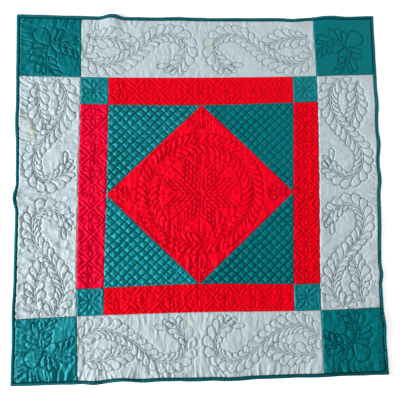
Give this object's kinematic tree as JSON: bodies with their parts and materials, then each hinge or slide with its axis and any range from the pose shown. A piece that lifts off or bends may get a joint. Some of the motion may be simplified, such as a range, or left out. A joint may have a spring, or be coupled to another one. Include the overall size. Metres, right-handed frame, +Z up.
{
  "type": "patchwork quilt",
  "caption": "Square hand-quilted cotton quilt with a diamond in the centre, plain borders, corner blocks and a bound edge, lying flat.",
  "frame": {"origin": "bottom centre of the quilt's box, on the floor that it lies on", "axes": "+X to the quilt's right as pictured, +Y to its top edge, +Z up out of its face"},
  "size_m": [1.0789, 1.0766, 0.0145],
  "materials": {
    "red_cotton": "woven cotton, matt",
    "teal_cotton": "woven cotton, matt",
    "grey_cotton": "woven cotton, matt",
    "binding_cotton": "woven cotton, matt",
    "back_cotton": "woven cotton, matt"
  },
  "bodies": {
    "root": {"quilt_back": "back_cotton", "center_diamond": "red_cotton", "triangle_northeast": "teal_cotton", "triangle_southeast": "teal_cotton", "triangle_southwest": "teal_cotton", "triangle_northwest": "teal_cotton", "inner_strip_north": "red_cotton", "inner_strip_east": "red_cotton", "inner_strip_south": "red_cotton", "inner_strip_west": "red_cotton", "inner_corner_northeast": "teal_cotton", "inner_corner_southeast": "teal_cotton", "inner_corner_southwest": "teal_cotton", "inner_corner_northwest": "teal_cotton", "outer_strip_north": "grey_cotton", "outer_strip_east": "grey_cotton", "outer_strip_south": "grey_cotton", "outer_strip_west": "grey_cotton", "outer_corner_northeast": "teal_cotton", "outer_corner_southeast": "teal_cotton", "outer_corner_southwest": "teal_cotton", "outer_corner_northwest": "teal_cotton", "binding_north": "binding_cotton", "binding_east": "binding_cotton", "binding_south": "binding_cotton", "binding_west": "binding_cotton"}
  },
  "joints": []
}
